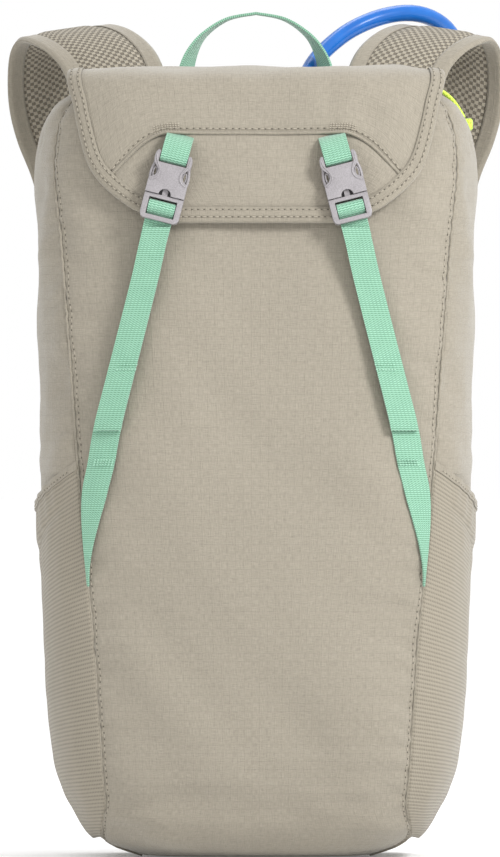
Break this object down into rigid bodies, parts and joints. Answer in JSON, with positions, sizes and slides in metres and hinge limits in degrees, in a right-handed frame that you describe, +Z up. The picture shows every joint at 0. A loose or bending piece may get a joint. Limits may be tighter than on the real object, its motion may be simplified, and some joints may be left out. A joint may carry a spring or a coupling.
{
  "type": "hydration pack",
  "caption": "Slim fabric backpack with a buckled flap lid, side pockets, shoulder harness and an inner drinking reservoir with its tube.",
  "frame": {"origin": "middle of the flat base that the bag stands on, under the middle of its width", "axes": "+Z up along the bag's height, -Y out of the front panel, +Y towards the wearer, +X to the right seen from the front"},
  "size_m": [0.2798, 0.2871, 0.4765],
  "materials": {
    "ripstop_fabric": "ripstop weave, matt",
    "air_mesh": "open mesh, matt",
    "mint_webbing": "ribbed tape",
    "dark_webbing": "ribbed tape",
    "grey_buckle": "fine satin",
    "dark_plastic": "fine satin",
    "blue_plastic": "gloss",
    "blue_tube": "clear gloss",
    "bite_silicone": "satin",
    "clear_film": "gloss",
    "lime_cord": "braided",
    "seal_rubber": "satin",
    "spring_steel": "bright"
  },
  "bodies": {
    "bag": {"front_panel": "ripstop_fabric", "side_panel_left": "ripstop_fabric", "side_panel_right": "ripstop_fabric", "bottom_panel": "ripstop_fabric", "back_panel": "ripstop_fabric", "back_pad": "air_mesh", "throat_collar": "ripstop_fabric", "drawcord": "lime_cord", "cord_lock_body": "dark_plastic", "cord_lock_spring": "spring_steel", "side_pocket_left": "air_mesh", "side_pocket_right": "air_mesh", "pocket_hem_left": "ripstop_fabric", "pocket_hem_right": "ripstop_fabric", "harness_yoke": "ripstop_fabric", "front_strap_left": "mint_webbing", "front_strap_right": "mint_webbing", "hydration_sleeve": "ripstop_fabric", "reservoir_hanger": "dark_webbing", "reservoir_bladder": "clear_film", "reservoir_collar": "blue_plastic", "reservoir_seal": "seal_rubber", "reservoir_handle": "blue_plastic", "outlet_fitting": "blue_plastic", "quick_link": "grey_buckle", "drink_tube": "blue_tube", "bite_valve_body": "dark_plastic", "bite_piece": "bite_silicone", "tube_clip": "dark_webbing", "shoulder_strap_left": "air_mesh", "shoulder_strap_right": "air_mesh", "lower_webbing_left": "dark_webbing", "lower_webbing_right": "dark_webbing", "anchor_tab_left": "ripstop_fabric", "anchor_tab_right": "ripstop_fabric", "sternum_rail_left": "dark_plastic", "sternum_rail_right": "dark_plastic"},
    "lid": {"lid_top_panel": "ripstop_fabric", "lid_front_panel": "ripstop_fabric", "lid_binding": "ripstop_fabric", "lid_strap_left": "mint_webbing", "lid_strap_right": "mint_webbing", "buckle_socket_left": "grey_buckle", "buckle_socket_right": "grey_buckle"},
    "carry_loop": {"haul_loop": "mint_webbing"},
    "plug_left": {"buckle_plug_left": "grey_buckle"},
    "plug_right": {"buckle_plug_right": "grey_buckle"},
    "lock_button": {"cord_lock_plunger": "dark_plastic"},
    "filler_cap": {"reservoir_cap": "blue_plastic"},
    "link_button": {"quick_link_button": "blue_plastic"},
    "drink_lever": {"valve_lever": "blue_plastic"},
    "ladder_left": {"ladder_lock_left": "dark_plastic"},
    "ladder_right": {"ladder_lock_right": "dark_plastic"},
    "chest_strap": {"sternum_slider_left": "grey_buckle", "sternum_slider_right": "grey_buckle", "sternum_webbing_left": "dark_webbing", "sternum_webbing_right": "dark_webbing", "sternum_socket": "grey_buckle"},
    "chest_plug": {"sternum_plug": "grey_buckle"}
  },
  "joints": [
    {"name": "lid_hinge", "type": "hinge", "parent": "bag", "child": "lid", "pos_m": [0, 0.069, 0.43], "axis": [-1, 0, 0], "range_deg": [0, 95]},
    {"name": "carry_loop_lean", "type": "hinge", "parent": "bag", "child": "carry_loop", "pos_m": [0, 0.0806, 0.408], "axis": [1, 0, 0], "range_deg": [0, 10]},
    {"name": "left_buckle_release", "type": "slide", "parent": "bag", "child": "plug_left", "axis": [-0.247, -0.1147, -0.9622], "range_m": [0, 0.022], "deforming": ["front_strap_left"]},
    {"name": "right_buckle_release", "type": "slide", "parent": "bag", "child": "plug_right", "axis": [0.247, -0.1147, -0.9622], "range_m": [0, 0.022], "deforming": ["front_strap_right"]},
    {"name": "cord_lock_press", "type": "slide", "parent": "bag", "child": "lock_button", "axis": [0, -1, 0], "range_m": [0, 0.003], "stiffness_N_per_m": 300, "deforming": ["cord_lock_spring"]},
    {"name": "filler_cap_turn", "type": "hinge", "parent": "bag", "child": "filler_cap", "pos_m": [0, 0.02, 0.262], "axis": [0, -1, 0], "range_deg": [0, 90]},
    {"name": "quick_link_press", "type": "slide", "parent": "bag", "child": "link_button", "axis": [0, 0, 1], "range_m": [0, 0.002], "stiffness_N_per_m": 400},
    {"name": "valve_lever_turn", "type": "hinge", "parent": "bag", "child": "drink_lever", "pos_m": [0.1029, 0.18595, 0.20511], "axis": [0.0041, -0.999, -0.045], "range_deg": [0, 90]},
    {"name": "left_ladder_tilt", "type": "hinge", "parent": "bag", "child": "ladder_left", "pos_m": [-0.09, 0.148, 0.185], "axis": [1, 0, 0], "range_deg": [0, 25], "deforming": ["lower_webbing_left"]},
    {"name": "right_ladder_tilt", "type": "hinge", "parent": "bag", "child": "ladder_right", "pos_m": [0.09, 0.148, 0.185], "axis": [1, 0, 0], "range_deg": [0, 25], "deforming": ["lower_webbing_right"]},
    {"name": "chest_strap_height", "type": "slide", "parent": "bag", "child": "chest_strap", "axis": [0, 0, 1], "range_m": [-0.02, 0.02]},
    {"name": "chest_buckle_release", "type": "slide", "parent": "chest_strap", "child": "chest_plug", "axis": [1, 0, 0], "range_m": [0, 0.02], "deforming": ["sternum_webbing_right"]}
  ]
}
